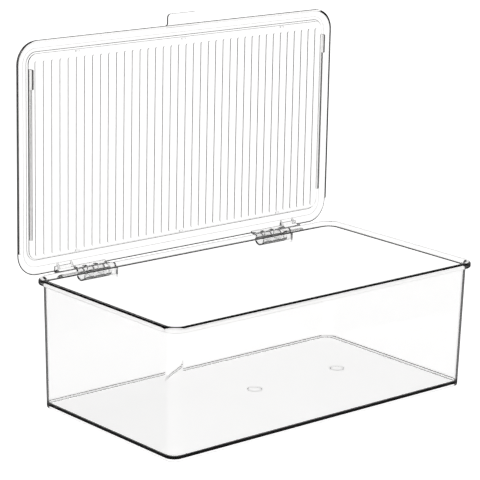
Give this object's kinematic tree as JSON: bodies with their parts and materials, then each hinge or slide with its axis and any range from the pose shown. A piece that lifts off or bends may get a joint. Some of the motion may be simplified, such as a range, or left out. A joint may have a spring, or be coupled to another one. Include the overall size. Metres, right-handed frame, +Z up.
{
  "type": "storage bin",
  "caption": "Clear rectangular storage bin with a rolled rim and a hinged, ribbed lid with a finger tab, standing open; bins stack in the lid's shallow recess.",
  "frame": {"origin": "on the floor, at the middle of the bin's base", "axes": "+X along the long side, +Z up; the front of the bin faces -Y and the hinged lid is at +Y"},
  "size_m": [0.3584, 0.2108, 0.3284],
  "materials": {
    "clear_bin": "clear polished injection-moulded polystyrene",
    "clear_lid": "clear polished injection-moulded polystyrene, ribbed",
    "clear_hinge": "clear moulded plastic, satin from the mould",
    "pin": "clear turned rod"
  },
  "bodies": {
    "bin": {"bin": "clear_bin", "hinge_bracket_left": "clear_hinge", "hinge_bracket_right": "clear_hinge", "hinge_pin_left": "pin", "hinge_pin_right": "pin"},
    "lid": {"lid": "clear_lid", "lid_hinge_leaf_left": "clear_hinge", "lid_hinge_leaf_right": "clear_hinge"}
  },
  "joints": [
    {"name": "lid_hinge", "type": "hinge", "parent": "bin", "child": "lid", "pos_m": [0, 0.10565, 0.1112], "axis": [1, 0, 0], "range_deg": [0, 90]}
  ]
}
